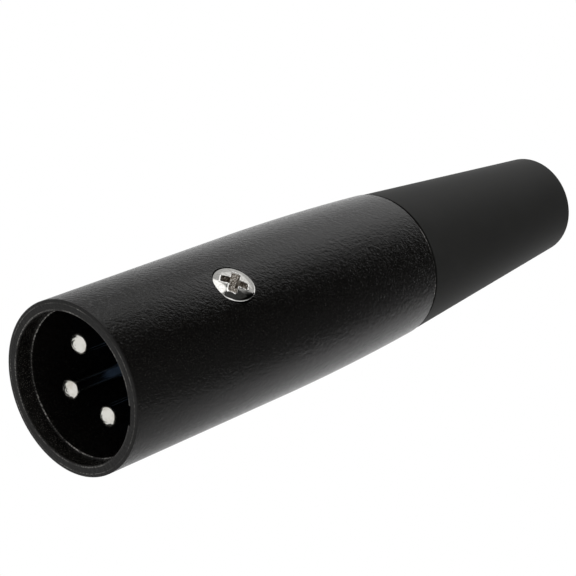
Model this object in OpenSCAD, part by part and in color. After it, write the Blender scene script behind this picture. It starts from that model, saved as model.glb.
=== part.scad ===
// Three-contact male cable plug, standing on its mouth with the cable leaving upwards.
// The origin is the centre of the mouth rim, +Z runs up the plug's axis to the boot,
// and the screw in the side faces -Y.

/* [Shell] */
// Outside diameter of the barrel
shell_d = 19; // [18.6:0.1:20]
// Length of the shell from the mouth rim to its rear edge
shell_len = 50.5; // [49:0.5:56]
// How far the barrel curves in towards its rear edge
rear_drop = 0.7; // [0.2:0.05:0.8]
// Distance from the mouth at which the barrel starts to curve in
taper_start = 27; // [24:0.5:32]
// Radius of the rounded outer edge of the mouth rim
rim_round = 0.4; // [0.2:0.05:0.6]
// Bevel round the rear edge
rear_bevel = 0.3; // [0.1:0.05:0.5]
// Wall round the bore that the mating barrel enters
wall = 1.45; // [1.35:0.05:1.6]
// Width of the step at the end of the lead-in
lead_step = 0.2; // [0.1:0.05:0.4]
// Depth of the lead-in
lead_depth = 2; // [1:0.1:3]
// Width of the shoulder that stops the contact block
shoulder_w = 0.65; // [0.4:0.05:0.8]
// Width of the rear lip that traps the boot
lip_w = 0.8; // [0.6:0.05:1]
// Thickness of the rear lip
lip_t = 2; // [1.5:0.1:2.4]

/* [Keyway] */
// Width of the keyway down the bore
key_w = 2.2; // [1.6:0.1:3]
// Depth of the keyway below the bore
key_depth = 0.45; // [0.3:0.05:0.6]
// Direction of the keyway round the axis
key_angle = -32.5; // [-38:0.5:-28]

/* [Contact block] */
// Distance from the mouth rim to the face of the block
face_depth = 15.6; // [15:0.1:16.4]
// Length of the block
block_len = 8.3; // [7.8:0.1:9.4]
// Chamfer round the face of the block
block_chamfer = 0.4; // [0.2:0.1:0.8]
// Height of the boss round each contact
boss_h = 0.5; // [0.2:0.1:0.8]
// Wall of the boss round each contact
boss_wall = 0.8; // [0.5:0.1:1]
// Height of the barrier between the solder cups
barrier_h = 4.6; // [3:0.1:5.5]
// Thickness of the barrier
barrier_t = 1; // [0.8:0.1:1.2]

/* [Contacts] */
// Diameter of the contact
pin_d = 2.38; // [2.2:0.02:2.5]
// Length of the contact in front of the block face
pin_len = 12.9; // [12:0.1:13.6]
// Height of the domed tip
tip_h = 0.9; // [0.6:0.1:1.2]
// Diameter of the shank inside the block
shank_d = 2.9; // [2.75:0.05:3.1]
// How far the shank stands out of its boss
shank_out = 0.1; // [0.05:0.05:0.2]
// Inset of the contacts' circle from the bore
circle_inset = 4; // [3.8:0.05:4.2]
// Direction of the middle contact round the axis
middle_angle = 113.9; // [110:0.1:118]
// Diameter of the collar that stops in the block
collar_d = 3.4; // [3:0.1:3.6]
// Depth of the collar's seat in the back of the block
collar_depth = 2.9; // [2:0.1:3.4]
// Diameter of the solder cup
cup_d = 3.1; // [2.9:0.1:3.3]
// Length of the solder cup behind the block
cup_len = 6; // [5:0.1:6.4]
// Diameter of the hole in the solder cup
cup_bore_d = 2.2; // [1.8:0.1:2.3]
// Depth of the hole in the solder cup
cup_bore_depth = 4.5; // [3.5:0.1:4.8]

/* [Side screw] */
// Diameter of the screw's thread
screw_d = 3; // [2.6:0.1:3.2]
// Distance from the block face to the screw's axis
screw_setback = 3; // [2.7:0.1:3.4]
// Diameter of the raised countersunk head
head_d = 4.9; // [4.6:0.1:5.2]
// Height of the dome above the head's rim
dome_h = 0.62; // [0.4:0.02:0.8]
// Thickness of the head's rim
head_rim = 0.2; // [0.1:0.05:0.3]
// Depth of the countersunk cone
cone_h = 0.65; // [0.5:0.05:0.75]
// How far the head's rim lies below the barrel's surface
head_sink = 0.15; // [0:0.05:0.25]
// Length of the thread below the head
screw_len = 4.1; // [3.4:0.1:4.6]
// Span of the cross recess
recess_w = 3; // [2.4:0.1:3.2]
// Width of the cross recess's wings
recess_slot = 0.72; // [0.5:0.02:0.9]
// Depth of the cross recess
recess_depth = 1.1; // [0.8:0.05:1.3]
// Turn of the cross recess
recess_angle = 39; // [0:1:90]

/* [Clamp frame] */
// Thickness of the sheet
frame_t = 1; // [0.8:0.05:1.1]
// Half of the angle that the tongue under the screw spans
tongue_half = 24; // [18:1:28]
// Height of the band behind the block
band_h = 3.7; // [3:0.1:4.4]
// Width of each side rail
rail_w = 3.1; // [2.4:0.1:4]
// Distance between the cable clamp and the boot's flange
clamp_gap = 1.35; // [0.6:0.05:2]
// Length of the cable clamp along the cable
clamp_len = 6; // [5:0.1:6.8]
// Margin of the ears outside the axes of the clamp screws
ear_margin = 1.95; // [1.7:0.05:2.1]
// Height of the ears' foot on the side rails
ear_foot = 0.6; // [0.4:0.1:1]
// Height of the ribs that grip the cable
grip_h = 0.3; // [0.2:0.05:0.5]
// Width of the ribs that grip the cable
grip_w = 0.8; // [0.5:0.1:1]

/* [Clamp screws] */
// Diameter of the thread
clamp_screw_d = 2; // [1.8:0.1:2.2]
// Diameter of the head
clamp_head_d = 3.4; // [3:0.1:3.4]
// Height of the head
clamp_head_h = 1.3; // [1:0.1:1.4]
// Length below the head
clamp_screw_len = 4; // [3.4:0.1:4.4]

/* [Ground tag] */
// Thickness of the tag's sheet
tag_t = 0.4; // [0.3:0.05:0.5]
// Width of the tag on each side of the screw's hole
tag_side = 0.6; // [0.5:0.05:0.7]
// Height of the tag's solder eye
eye_h = 4.4; // [3.6:0.1:5]
// Width of the tag's solder eye
eye_w = 2.4; // [2:0.1:2.6]

/* [Boot] */
// Length of the boot behind the shell
boot_len = 31.9; // [28:0.1:36]
// Step from the shell's rear edge down to the boot
boot_step = 0.1; // [0.05:0.05:0.4]
// Diameter of the boot at its end
boot_end_d = 12.4; // [11.5:0.1:14]
// Diameter of the hole for the cable
cable_hole_d = 7; // [6:0.1:8]
// Wall of the neck round its hollow
neck_wall = 1.3; // [1:0.1:1.6]
// Length of the hollow inside the neck
throat_len = 9.3; // [7:0.1:12]
// Length of the cone between the hollow and the cable hole
throat_cone = 3; // [1:0.5:5]
// Height of the flange inside the shell
flange_h = 1.6; // [1.2:0.1:2]
// Gap round the flange inside the shell
flange_gap = 0.3; // [0.2:0.05:0.4]
// Rounding of the end's edges
boot_round = 0.5; // [0.3:0.05:0.8]

/* [Clearances] */
// Between pieces that are pressed or moulded tight
tight = 0.02; // [0.01:0.01:0.04]
// Between pieces that seat on each other
seat = 0.05; // [0.02:0.01:0.08]
// Between pieces that slide into place
slip = 0.1; // [0.06:0.01:0.15]
// Between the sheet frame and the wiring room's wall
loose = 0.2; // [0.12:0.02:0.25]

/* [Hidden] */
$fn = 96;

arc_steps = 8;
taper_steps = 12;
past = 1;

shell_r = shell_d / 2;
rear_r = shell_r - rear_drop;
bore_r = shell_r - wall;
room_r = bore_r - shoulder_w;
lip_r = room_r - lip_w;
lip_z = shell_len - lip_t;
block_top = face_depth + block_len;
shoulder_z = block_top + seat;

contact_r = bore_r - circle_inset;
tip_z = face_depth - pin_len;
shank_z = face_depth - boss_h - shank_out;
collar_z = block_top - collar_depth;
cup_top = block_top + cup_len;

screw_z = face_depth + screw_setback;
head_y = shell_r - head_sink;
cone_y = head_y - head_rim;
neck_y = cone_y - cone_h;
screw_tip_y = neck_y - screw_len;

// The tongue steps in by the joggle so that the frame passes the shell's shoulder.
tongue_r = bore_r - slip;
frame_r = room_r - loose;
joggle = tongue_r - frame_r + seat;
joggle_low = block_top - 1.7;
joggle_high = block_top - 0.8;
slot_wall = 0.6;
slot_z = face_depth + slot_wall;
tongue_z = slot_z + loose;
tag_r = tongue_r - frame_t - seat;
tag_half = asin((screw_d / 2 + slip + tag_side) / tag_r);
band_z = block_top + 0.9;
band_top = band_z + band_h;
ear_x = frame_r - 0.15;
clamp_screw_x = ear_x - ear_margin;
cradle_r = clamp_screw_x - clamp_head_d / 2 + slip - frame_t;
saddle_y = slip;
saddle_top = saddle_y + frame_t;

eye_y = 2.9;

boot_z = shell_len + seat;
boot_top = shell_len + boot_len;
boot_r = rear_r - boot_step;
neck_r = lip_r - slip;
throat_r = neck_r - neck_wall;
flange_r = room_r - flange_gap;
flange_top = lip_z - seat;
flange_z = flange_top - flange_h;

clamp_top = flange_z - clamp_gap;
clamp_z = clamp_top - clamp_len;
clamp_mid = clamp_z + clamp_len / 2;
rail_top = clamp_z + ear_foot;

// Points of an arc from angle a to angle b about the centre c.
function arc(c, r, a, b, n = arc_steps) =
    [for (i = [0 : n]) let (t = a + (b - a) * i / n) c + r * [cos(t), sin(t)]];

// The barrel's curve towards the rear: a shallow parabola that starts tangent to it.
function taper(n = taper_steps) =
    [for (i = [0 : n])
        let (t = i / n, z = taper_start + (shell_len - rear_bevel - taper_start) * t)
        [shell_r - (shell_r - rear_r) * t * t, z]];

// Section of a sheet strip that steps in by the joggle on its way up.
function strip(r, t, low, high) =
    [[r - t, low], [r, low], [r, joggle_low], [r - joggle, joggle_high],
     [r - joggle, high], [r - joggle - t, high], [r - joggle - t, joggle_high],
     [r - t, joggle_low]];

module sector(points, from, to) {
    rotate([0, 0, from]) rotate_extrude(angle = to - from) polygon(points);
}

module tube(inner, outer, low, high) {
    translate([0, 0, low]) difference() {
        cylinder(h = high - low, r = outer);
        translate([0, 0, -past]) cylinder(h = high - low + 2 * past, r = inner);
    }
}

// A cylinder that runs from y = -from to y = -to at the given place.
module cross_drill(x, z, r, from, to, r2 = undef) {
    translate([x, -from, z]) rotate([90, 0, 0])
        cylinder(h = to - from, r1 = r, r2 = r2 == undef ? r : r2);
}

module cross_recess(span, slot, depth) {
    for (turn = [0, 90])
        rotate([0, 0, turn]) translate([-span / 2, -slot / 2, -depth])
            cube([span, slot, depth + past]);
}

module shell() {
    color("#1c1c1b") difference() {
        rotate_extrude() polygon(concat(
            [[0, 0]],
            arc([shell_r - rim_round, rim_round], rim_round, -90, 0),
            taper(),
            [[rear_r - rear_bevel, shell_len], [0, shell_len]]));
        translate([0, 0, -past]) cylinder(h = lead_depth + past, r = bore_r + lead_step);
        cylinder(h = shoulder_z, r = bore_r);
        cylinder(h = lip_z, r = room_r);
        cylinder(h = shell_len + past, r = lip_r);
        rotate([0, 0, key_angle]) translate([0, -key_w / 2, -past])
            cube([bore_r + key_depth, key_w, shoulder_z + past]);
        cross_drill(0, screw_z, screw_d / 2 + slip, 0, shell_r + past);
        cross_drill(0, screw_z, screw_d / 2 + slip, neck_y, cone_y, head_d / 2 + seat);
        cross_drill(0, screw_z, head_d / 2 + seat, cone_y, shell_r + past);
    }
}

module contact_block() {
    block_r = bore_r - slip;
    color("#3b4a5c") difference() {
        union() {
            rotate_extrude() polygon([[0, face_depth], [block_r - block_chamfer, face_depth],
                [block_r, face_depth + block_chamfer], [block_r, block_top], [0, block_top]]);
            rotate([0, 0, key_angle])
                translate([block_r - past, -key_w / 2 + slip, face_depth + block_chamfer])
                    cube([past + key_depth, key_w - 2 * slip, block_len - block_chamfer]);
            for (a = [-90, 0, 90]) rotate([0, 0, middle_angle + a])
                translate([contact_r, 0, face_depth - boss_h])
                    cylinder(h = boss_h + past, r = pin_d / 2 + boss_wall);
            // A wall across the block and a half wall keep the three cups apart.
            rotate([0, 0, middle_angle + 45])
                translate([-contact_r - 1.6, -barrier_t / 2, block_top - past])
                    cube([2 * contact_r + 3.2, barrier_t, past + barrier_h]);
            rotate([0, 0, middle_angle - 45])
                translate([0, -barrier_t / 2, block_top - past])
                    cube([contact_r + 1.6, barrier_t, past + barrier_h]);
        }
        for (a = [-90, 0, 90]) rotate([0, 0, middle_angle + a]) {
            translate([contact_r, 0, face_depth - boss_h - past])
                cylinder(h = block_len + boss_h + 2 * past, r = shank_d / 2 + tight);
            translate([contact_r, 0, collar_z])
                cylinder(h = collar_depth + barrier_h + past, r = collar_d / 2 + tight);
        }
        // Slot for the frame's tongue, and a deeper one for the tag under it.
        sector(strip(shell_r + joggle, shell_r + joggle - tag_r, slot_z, block_top + past),
            270 - tongue_half - 1, 270 + tongue_half + 1);
        sector(strip(shell_r, shell_r - tag_r + tag_t + seat, slot_z, block_top + past),
            270 - tag_half - 1, 270 + tag_half + 1);
        cross_drill(0, screw_z, screw_d / 2 + loose, screw_tip_y - loose, shell_r);
    }
}

// A turned contact: domed tip, collar and a solder cup that opens away from the axis.
module contact(angle) {
    pin_r = pin_d / 2;
    tip = [for (i = [0 : arc_steps]) let (t = 90 * i / arc_steps)
        [pin_r * sin(t), tip_z + tip_h * (1 - cos(t))]];
    color("#c9c8c2") rotate([0, 0, angle]) translate([contact_r, 0, 0]) difference() {
        rotate_extrude() polygon(concat(tip, [
            [pin_r, shank_z], [shank_d / 2, shank_z],
            [shank_d / 2, collar_z + seat], [collar_d / 2, collar_z + seat],
            [collar_d / 2, block_top + seat], [cup_d / 2, block_top + 2 * seat],
            [cup_d / 2, cup_top], [0, cup_top]]));
        translate([0, 0, cup_top - cup_bore_depth])
            cylinder(h = cup_bore_depth + past, d = cup_bore_d);
        translate([cup_d / 8, -cup_d, cup_top - cup_bore_depth + 0.8])
            cube([cup_d, 2 * cup_d, cup_bore_depth]);
    }
}

module contact_1() { contact(middle_angle + 90); }
module contact_2() { contact(middle_angle - 90); }
module contact_3() { contact(middle_angle); }

// A sprung strip under the tongue, bent over the block and up into a solder eye.
module ground_tag() {
    color("#c2b38c") difference() {
        union() {
            sector(strip(tag_r, tag_t, slot_z + loose, block_top + seat + tag_t),
                270 - tag_half, 270 + tag_half);
            translate([-eye_w / 2, -(tag_r - joggle - tag_t / 2), block_top + seat])
                cube([eye_w, tag_r - joggle + tag_t / 2 - eye_y, tag_t]);
            translate([-eye_w / 2, -eye_y, block_top + seat])
                cube([eye_w, tag_t, eye_h]);
        }
        cross_drill(0, screw_z, screw_d / 2 + slip, 0, shell_r);
        cross_drill(0, block_top + eye_h - eye_w / 2, eye_w / 4, 0, shell_r);
    }
}

// A raised countersunk screw whose head sits in the shell's side.
module side_screw() {
    dome_r = (head_d * head_d / 4 + dome_h * dome_h) / (2 * dome_h);
    thread_r = screw_d / 2;
    color("#d9d9d6") translate([0, 0, screw_z]) rotate([90, 0, 0]) difference() {
        rotate_extrude() polygon(concat(
            [[0, screw_tip_y], [thread_r - 0.4, screw_tip_y], [thread_r, screw_tip_y + 0.5],
             [thread_r, neck_y], [head_d / 2, cone_y]],
            [for (i = [0 : arc_steps])
                let (x = head_d / 2 * (1 - i / arc_steps))
                [x, head_y + dome_h - dome_r + sqrt(dome_r * dome_r - x * x)]]));
        translate([0, 0, head_y + dome_h]) rotate([0, 0, recess_angle]) intersection() {
            cross_recess(recess_w, recess_slot, recess_depth);
            translate([0, 0, -recess_depth])
                cylinder(h = recess_depth + past, r1 = recess_slot,
                    r2 = recess_w / 2 + past / 2);
        }
    }
}

// A cable clamp's arch, ribs and two flat ears. The arch is whole here, and the piece
// that has it trims it to a half.
module clamp_arch(ear_low, ear_high, low, high, foot) {
    tube(cradle_r, cradle_r + frame_t, low, high);
    for (z = [low + clamp_len / 4, high - clamp_len / 4])
        tube(cradle_r - grip_h, cradle_r + frame_t / 2, z - grip_w / 2, z + grip_w / 2);
    for (side = [-1, 1])
        translate([side > 0 ? cradle_r + frame_t / 2 : -ear_x, ear_low, foot])
            cube([ear_x - cradle_r - frame_t / 2, ear_high - ear_low, high - foot]);
}

// One pressed sheet carries the cable clamp from the block's side.
module clamp_frame() {
    color("#b4b6b8") difference() {
        union() {
            sector(strip(tongue_r, frame_t, tongue_z, band_z + past),
                270 - tongue_half, 270 + tongue_half);
            // The window between the side rails lets the cups be soldered.
            difference() {
                tube(frame_r - frame_t, frame_r, band_z, rail_top);
                translate([-room_r, -room_r, band_top])
                    cube([2 * room_r, room_r - rail_w, rail_top - band_top + past]);
            }
            clamp_arch(-frame_t, frame_t, clamp_z, clamp_top, clamp_z - ear_foot);
        }
        translate([-room_r, 0, tongue_z])
            cube([2 * room_r, room_r, clamp_top]);
        cross_drill(0, screw_z, screw_d / 2 + seat, 0, shell_r);
        for (side = [-1, 1])
            cross_drill(side * clamp_screw_x, clamp_mid, clamp_screw_d / 2 + seat,
                -past, frame_t + past);
    }
}

module clamp_saddle() {
    color("#b4b6b8") difference() {
        clamp_arch(saddle_y, saddle_top, clamp_z, clamp_top, clamp_z);
        translate([-room_r, -room_r, clamp_z - past])
            cube([2 * room_r, room_r + saddle_y, clamp_len + 2 * past]);
        for (side = [-1, 1])
            cross_drill(side * clamp_screw_x, clamp_mid, clamp_screw_d / 2 + slip,
                -saddle_top - past, 0);
    }
}

// A small pan head screw that passes the saddle's ear into the frame's.
module clamp_screw(side) {
    thread_r = clamp_screw_d / 2;
    head_base = saddle_top + seat;
    color("#c6c7c8") translate([side * clamp_screw_x, head_base, clamp_mid])
        rotate([-90, 0, 0]) difference() {
            rotate_extrude() polygon(concat(
                [[0, -clamp_screw_len], [thread_r - 0.3, -clamp_screw_len],
                 [thread_r, 0.3 - clamp_screw_len], [thread_r, 0], [clamp_head_d / 2, 0]],
                arc([clamp_head_d / 2 - 0.5, clamp_head_h - 0.5], 0.5, 0, 90),
                [[0, clamp_head_h]]));
            translate([0, 0, clamp_head_h])
                cross_recess(clamp_head_d * 0.6, 0.5, clamp_head_h * 0.6);
        }
}

module clamp_screw_left() { clamp_screw(-1); }
module clamp_screw_right() { clamp_screw(1); }

// The boot's neck snaps through the rear lip, and its flange stays behind it.
module boot() {
    end_r = boot_end_d / 2;
    hole_r = cable_hole_d / 2;
    color("#262627") difference() {
        rotate_extrude() polygon(concat(
            [[hole_r, flange_z], [flange_r - 0.3, flange_z], [flange_r, flange_z + 0.5],
             [flange_r, flange_top], [neck_r, flange_top], [neck_r, boot_z],
             [boot_r - 0.15, boot_z], [boot_r, boot_z + 0.15]],
            arc([end_r - boot_round, boot_top - boot_round], boot_round, 0, 90),
            [[hole_r + 0.3, boot_top], [hole_r, boot_top - 0.3]]));
        translate([0, 0, flange_z - past])
            cylinder(h = throat_len + past, r = throat_r);
        translate([0, 0, flange_z + throat_len])
            cylinder(h = throat_cone, r1 = throat_r, r2 = hole_r);
    }
}

shell();
contact_block();
contact_1();
contact_2();
contact_3();
ground_tag();
side_screw();
clamp_frame();
clamp_saddle();
clamp_screw_left();
clamp_screw_right();
boot();
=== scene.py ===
"""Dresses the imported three-contact cable plug and sets up its photograph.

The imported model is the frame: the plug stands on its mouth at z = 0 with its boot upwards, and the
screw in its side faces -Y. Sizes in the classes are millimetres unless a comment says otherwise.
"""

import logging
import math
from collections.abc import Iterable, Sequence
from dataclasses import dataclass, field, replace
from enum import Enum
from typing import Any

import bmesh
import bpy
from mathutils import Matrix, Vector


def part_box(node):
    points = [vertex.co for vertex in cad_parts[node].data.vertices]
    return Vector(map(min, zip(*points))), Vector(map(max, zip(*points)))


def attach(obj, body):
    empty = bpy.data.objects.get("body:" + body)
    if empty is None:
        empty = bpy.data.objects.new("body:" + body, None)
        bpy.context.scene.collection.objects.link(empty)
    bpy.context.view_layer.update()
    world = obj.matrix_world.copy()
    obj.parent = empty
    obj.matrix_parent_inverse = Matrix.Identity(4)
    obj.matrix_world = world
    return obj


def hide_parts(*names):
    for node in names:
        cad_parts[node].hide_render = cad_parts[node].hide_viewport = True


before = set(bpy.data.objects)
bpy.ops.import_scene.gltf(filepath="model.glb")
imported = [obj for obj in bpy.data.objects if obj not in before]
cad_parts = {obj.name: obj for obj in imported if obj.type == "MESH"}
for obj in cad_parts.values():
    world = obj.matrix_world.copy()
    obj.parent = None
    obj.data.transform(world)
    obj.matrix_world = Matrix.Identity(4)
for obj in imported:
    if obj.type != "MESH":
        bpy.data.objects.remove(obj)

log = logging.getLogger("cable_plug")

MM = 0.001
BODY = "root"

Point = tuple[float, float]
Corner = tuple[float, float, float]


def linear(hex_colour: str) -> tuple[float, float, float, float]:
    """Turns an sRGB hex colour into the linear colour that shaders take.

    Args:
        hex_colour: Six hex digits after a hash sign.

    Returns:
        Linear red, green and blue, and an alpha of 1.
    """
    channels = [int(hex_colour[i:i + 2], 16) / 255 for i in (1, 3, 5)]
    red, green, blue = (
        c / 12.92 if c <= 0.04045 else ((c + 0.055) / 1.055) ** 2.4 for c in channels
    )
    return red, green, blue, 1.0


def per_grain(size_mm: float) -> float:
    """Gives the texture scale at which one grain of a pattern measures this many millimetres."""
    return 1 / (size_mm * MM)


def add_node(
    tree: bpy.types.NodeTree,
    kind: str,
    settings: dict[str, Any] | None = None,
    inputs: dict[str | int, Any] | None = None,
) -> bpy.types.Node:
    """Adds one node to a tree.

    Args:
        tree: The node tree that takes the node.
        kind: The node's type name without its ShaderNode prefix.
        settings: Properties of the node itself.
        inputs: A value or another node's output socket for each input, by name or number.

    Returns:
        The new node.
    """
    node = tree.nodes.new("ShaderNode" + kind)
    for name, value in (settings or {}).items():
        setattr(node, name, value)
    for name, value in (inputs or {}).items():
        if isinstance(value, bpy.types.NodeSocket):
            tree.links.new(value, node.inputs[name])
        else:
            node.inputs[name].default_value = value
    return node


def set_ramp(node: bpy.types.Node, stops: Sequence[tuple[float, str]]) -> bpy.types.Node:
    """Sets the stops of a colour ramp.

    Args:
        node: The colour ramp node.
        stops: Place and sRGB hex colour of each stop, in order.

    Returns:
        The same node.
    """
    elements = node.color_ramp.elements
    while len(elements) < len(stops):
        elements.new(1.0)
    for element, (place, colour) in zip(elements, stops):
        element.position = place
        element.color = linear(colour)
    return node


class Grain(Enum):
    """How a fine surface pattern is laid."""

    PEBBLED = "pebbled"
    SPARKED = "sparked"


@dataclass(frozen=True)
class Finish:
    """What every finish shares: a name, and the making of an empty Principled material."""

    name: str = "finish"

    def start(self) -> tuple[bpy.types.NodeTree, bpy.types.Node, bpy.types.NodeSocket]:
        """Starts the finish's material.

        Returns:
            Its node tree, its Principled shader, and the object coordinates in metres.
        """
        material = bpy.data.materials.new(self.name)
        material.use_nodes = True
        tree = material.node_tree
        shader = tree.nodes["Principled BSDF"]
        place = add_node(tree, "TexCoord").outputs["Object"]
        return tree, shader, place

    def material(self) -> bpy.types.Material:
        """Gives the finish's material, made once."""
        found = bpy.data.materials.get(self.name)
        if found is None:
            self.dress()
            found = bpy.data.materials[self.name]
        return found

    def dress(self) -> None:
        """Builds the finish's nodes."""
        raise NotImplementedError


def ring_mask(
    tree: bpy.types.NodeTree,
    place: bpy.types.NodeSocket,
    radius: float,
    height: float,
    reach: float,
) -> bpy.types.NodeSocket:
    """Marks a ring round the Z axis, such as a turned edge.

    Args:
        tree: The material's node tree.
        place: Object coordinates in metres.
        radius: Radius of the ring, in millimetres.
        height: Height of the ring, in millimetres.
        reach: Distance from the ring at which the mark has faded out, in millimetres.

    Returns:
        A value of 1 on the ring that falls to 0 at its reach.
    """
    axes = add_node(tree, "SeparateXYZ", inputs={0: place})
    flat = add_node(tree, "CombineXYZ", inputs={0: axes.outputs["X"], 1: axes.outputs["Y"]})
    around = add_node(tree, "VectorMath", {"operation": "LENGTH"}, {0: flat.outputs[0]})
    section = add_node(
        tree, "CombineXYZ", inputs={0: around.outputs["Value"], 1: axes.outputs["Z"]}
    )
    away = add_node(
        tree,
        "VectorMath",
        {"operation": "DISTANCE"},
        {0: section.outputs[0], 1: (radius * MM, height * MM, 0)},
    )
    mark = add_node(
        tree, "MapRange", inputs={0: away.outputs["Value"], 1: 0.0, 2: reach * MM, 3: 1.0, 4: 0.0}
    )
    return mark.outputs[0]


@dataclass(frozen=True)
class BakedEnamel(Finish):
    """Black enamel sprayed on die-cast zinc and baked.

    The eye sees a near-black, slightly warm coat whose orange peel breaks up the edge of every
    reflection. It lies flat on the rim. Its sharp edges carry a broken pale line, partly wear and
    partly painted highlight, and painted glints fleck it faintly, brighter in the mouth of the bore.
    """

    name: str = "baked_enamel"
    coat: str = "#0b0a09"
    # Faint painted glints flecked over the coat.
    speck: str = "#262522"
    # Brighter painted glints in the mouth of the bore.
    bore_glint: str = "#484642"
    # Pale line on turned edges: partly worn coat, partly a painted highlight.
    highlight_and_wear: str = "#b5b3ae"
    pebble: float = 0.16
    dimple: float = 0.33
    relief: float = 0.052
    flow: Corner = (0.608, -0.454, 0.651)
    stretch: float = 0.5
    # Size of the specks of painted glint.
    glint_grain: float = 0.11
    roughness: float = 0.2
    rim_roughness: float = 0.5
    rim_top: float = 0.3
    bore_radius: float = 8.4
    # How deep into the bore the brighter painted glints reach.
    glint_depth: float = 2.0
    # Sizes of the dots and runs that break up the pale edge lines.
    speckle: float = 0.2
    bare_run: float = 3.6
    # Turned edges that carry the pale line, partly painted highlight: radius, height, reach and
    # strength of each.
    edges: tuple[tuple[float, float, float, float], ...] = ()

    def noise(
        self, tree: bpy.types.NodeTree, place: bpy.types.NodeSocket, size: float, detail: float
    ) -> bpy.types.NodeSocket:
        """Adds a noise whose cells measure this many millimetres.

        Args:
            tree: The material's node tree.
            place: Object coordinates in metres.
            size: Size of a cell, in millimetres.
            detail: How much finer noise is laid over it.

        Returns:
            The noise's value.
        """
        cells = add_node(
            tree, "TexNoise", inputs={"Vector": place, "Scale": per_grain(size), "Detail": detail}
        )
        return cells.outputs["Fac"]

    def drawn_out(
        self, tree: bpy.types.NodeTree, place: bpy.types.NodeSocket
    ) -> bpy.types.NodeSocket:
        """Squeezes the coordinates along the way the wet coat crept, so that its grain streaks.

        Args:
            tree: The material's node tree.
            place: Object coordinates in metres.

        Returns:
            The squeezed coordinates.
        """
        share = add_node(tree, "VectorMath", {"operation": "DOT_PRODUCT"}, {0: place, 1: self.flow})
        along = add_node(tree, "VectorMath", {"operation": "SCALE"}, {0: self.flow})
        tree.links.new(share.outputs["Value"], along.inputs["Scale"])
        squeezed = add_node(
            tree, "VectorMath", {"operation": "MULTIPLY_ADD"},
            {0: along.outputs[0], 1: (-self.stretch,) * 3, 2: place},
        )
        return squeezed.outputs[0]

    def colour(
        self, tree: bpy.types.NodeTree, place: bpy.types.NodeSocket, inside: bpy.types.NodeSocket
    ) -> bpy.types.NodeSocket:
        """Lays painted glints and pale edge lines of painted highlight and wear over the coat.

        Args:
            tree: The material's node tree.
            place: Object coordinates in metres.
            inside: A value of 1 in the mouth of the bore, where the painted glints are brighter.

        Returns:
            The colour.
        """
        # Painted glints: specks of pale colour, faint on the coat and brighter in the mouth of the
        # bore.
        glint_grain = self.noise(tree, place, self.glint_grain, 1.0)
        specks = set_ramp(
            add_node(tree, "ValToRGB", inputs={0: glint_grain}), [(0.6, "#000000"), (0.72, "#ffffff")]
        )
        glint_tone = add_node(
            tree, "Mix", {"data_type": "RGBA"},
            {0: inside, 6: linear(self.speck), 7: linear(self.bore_glint)},
        )
        last = add_node(
            tree, "Mix", {"data_type": "RGBA"},
            {0: specks.outputs["Color"], 6: linear(self.coat), 7: glint_tone.outputs[2]},
        ).outputs[2]
        dots = add_node(
            tree, "MapRange",
            inputs={0: self.noise(tree, place, self.speckle, 2.0), 1: 0.46, 2: 0.6, 3: 0.1},
        )
        arcs = add_node(
            tree, "MapRange",
            inputs={0: self.noise(tree, place, self.bare_run, 1.0), 1: 0.42, 2: 0.6, 3: 0.15},
        )
        breaks = add_node(
            tree, "Math", {"operation": "MULTIPLY"}, {0: dots.outputs[0], 1: arcs.outputs[0]}
        ).outputs[0]
        # A pale line on each turned edge, partly painted highlight and partly wear, broken up by the
        # dots and runs.
        for radius, height, reach, line_strength in self.edges:
            mark = ring_mask(tree, place, radius, height, reach)
            lit_edge = add_node(tree, "Math", {"operation": "MULTIPLY"}, {0: mark, 1: line_strength})
            highlight_and_wear = add_node(
                tree, "Math", {"operation": "MULTIPLY"}, {0: lit_edge.outputs[0], 1: breaks}
            )
            last = add_node(
                tree, "Mix", {"data_type": "RGBA"},
                {0: highlight_and_wear.outputs[0], 6: last, 7: linear(self.highlight_and_wear)},
            ).outputs[2]
        return last

    def dress(self) -> None:
        """Builds the coat, its orange peel and the flat rim."""
        tree, shader, place = self.start()
        axes = add_node(tree, "SeparateXYZ", inputs={0: place}).outputs
        flat = add_node(tree, "CombineXYZ", inputs={0: axes["X"], 1: axes["Y"]})
        around = add_node(tree, "VectorMath", {"operation": "LENGTH"}, {0: flat.outputs[0]})
        edge = self.bore_radius * MM
        # Mask of the mouth of the bore, where the painted glints are brighter.
        inside = add_node(
            tree, "MapRange",
            inputs={0: around.outputs["Value"], 1: edge, 2: edge - 0.1 * MM, 3: 0.0, 4: 1.0},
        )
        reached = add_node(
            tree, "MapRange",
            inputs={
                0: axes["Z"], 1: self.glint_depth * MM, 2: 1.3 * self.glint_depth * MM, 3: 1.0,
                4: 0.0,
            },
        )
        glinting = add_node(
            tree, "Math", {"operation": "MULTIPLY"}, {0: inside.outputs[0], 1: reached.outputs[0]}
        )
        drawn = self.drawn_out(tree, place)
        relief = add_node(
            tree, "Math", {"operation": "MULTIPLY_ADD"},
            {
                0: self.noise(tree, drawn, self.dimple, 1.0),
                1: 1.0,
                2: self.noise(tree, drawn, self.pebble, 1.0),
            },
        )
        height = {0: axes["Z"], 1: 0.0, 2: self.rim_top * MM}
        depth = add_node(tree, "MapRange", inputs={**height, 3: 0.75, 4: 1.0})
        gloss = add_node(
            tree, "MapRange", inputs={**height, 3: self.rim_roughness, 4: self.roughness}
        )
        bump = add_node(
            tree, "Bump",
            inputs={
                "Strength": depth.outputs[0],
                "Distance": self.relief * MM,
                "Height": relief.outputs[0],
            },
        )
        tree.links.new(self.colour(tree, place, glinting.outputs[0]), shader.inputs["Base Color"])
        tree.links.new(gloss.outputs[0], shader.inputs["Roughness"])
        tree.links.new(bump.outputs[0], shader.inputs["Normal"])
        shader.inputs["Specular IOR Level"].default_value = 0.175


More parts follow.
